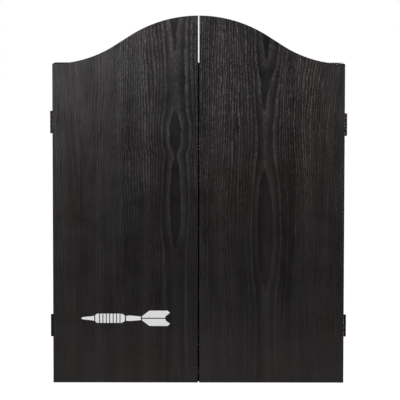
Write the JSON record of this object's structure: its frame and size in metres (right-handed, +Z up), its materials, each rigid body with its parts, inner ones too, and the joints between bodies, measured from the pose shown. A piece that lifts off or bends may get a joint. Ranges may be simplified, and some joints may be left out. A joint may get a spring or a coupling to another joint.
{
  "type": "dart board cabinet",
  "caption": "Wall-hung cabinet with paired flat doors whose tops sweep up to a rounded central hump; inside are a round dart board, scoreboards and dart racks.",
  "frame": {"origin": "on the wall plane at the back of the case, straight behind the centre of the dart board", "axes": "+X to the right as seen by someone facing the doors, +Y into the wall, +Z up"},
  "size_m": [0.5196, 0.0864, 0.644],
  "materials": {
    "door_laminate": "satin",
    "case_laminate": "satin",
    "hardboard": "matte",
    "bare_wood": "matte",
    "rack_wood": "satin",
    "slate_paint": "matte",
    "black_steel": "satin",
    "zinc_steel": "satin",
    "plated_steel": "satin",
    "catch_plastic": "satin",
    "magnet_ferrite": "matte",
    "clear_pad": "satin",
    "foot_rubber": "matte",
    "sisal_fibre": "matte",
    "chipboard": "matte",
    "band_steel": "satin",
    "wire_steel": "satin"
  },
  "bodies": {
    "case": {"back_panel": "hardboard", "back_panel_pins": "zinc_steel", "board_bracket": "plated_steel", "bottom_panel": "case_laminate", "bracket_screws": "zinc_steel", "case_dowels": "bare_wood", "case_screws": "black_steel", "catch_housing": "catch_plastic", "catch_magnet": "magnet_ferrite", "catch_poles": "plated_steel", "catch_screws": "zinc_steel", "hinge_case_leaf_left_lower": "black_steel", "hinge_case_leaf_left_upper": "black_steel", "hinge_case_leaf_right_lower": "black_steel", "hinge_case_leaf_right_upper": "black_steel", "hinge_case_screws": "black_steel", "hinge_pin_left_lower": "black_steel", "hinge_pin_left_upper": "black_steel", "hinge_pin_right_lower": "black_steel", "hinge_pin_right_upper": "black_steel", "side_panel_left": "case_laminate", "side_panel_right": "case_laminate", "top_panel": "case_laminate"},
    "left_door": {"door_left": "door_laminate", "scoreboard_left": "slate_paint", "scoreboard_screws_left": "zinc_steel", "dart_rack_left": "rack_wood", "dart_rack_screws_left": "zinc_steel", "strike_plate_left": "plated_steel", "strike_screw_left": "zinc_steel", "door_bumpers_left": "clear_pad", "hinge_door_screws_left": "black_steel", "hinge_door_leaf_left_upper": "black_steel", "hinge_door_leaf_left_lower": "black_steel"},
    "right_door": {"door_right": "door_laminate", "scoreboard_right": "slate_paint", "scoreboard_screws_right": "zinc_steel", "dart_rack_right": "rack_wood", "dart_rack_screws_right": "zinc_steel", "strike_plate_right": "plated_steel", "strike_screw_right": "zinc_steel", "door_bumpers_right": "clear_pad", "hinge_door_screws_right": "black_steel", "hinge_door_leaf_right_upper": "black_steel", "hinge_door_leaf_right_lower": "black_steel"},
    "dartboard": {"sisal_face": "sisal_fibre", "board_backing": "chipboard", "board_band": "band_steel", "board_screw": "zinc_steel", "board_feet": "foot_rubber", "wire_spider": "wire_steel", "bull_ring": "wire_steel", "number_ring": "wire_steel", "number_ring_clips": "wire_steel"}
  },
  "joints": [
    {"name": "left_door_hinge", "type": "hinge", "parent": "case", "child": "left_door", "pos_m": [-0.2575, -0.0732, 0.024], "axis": [0, 0, -1], "range_deg": [0, 180]},
    {"name": "right_door_hinge", "type": "hinge", "parent": "case", "child": "right_door", "pos_m": [0.2575, -0.0732, 0.024], "axis": [0, 0, 1], "range_deg": [0, 180]},
    {"name": "board_lift", "type": "slide", "parent": "case", "child": "dartboard", "axis": [0, 0, 1], "range_m": [0, 0.016]}
  ]
}
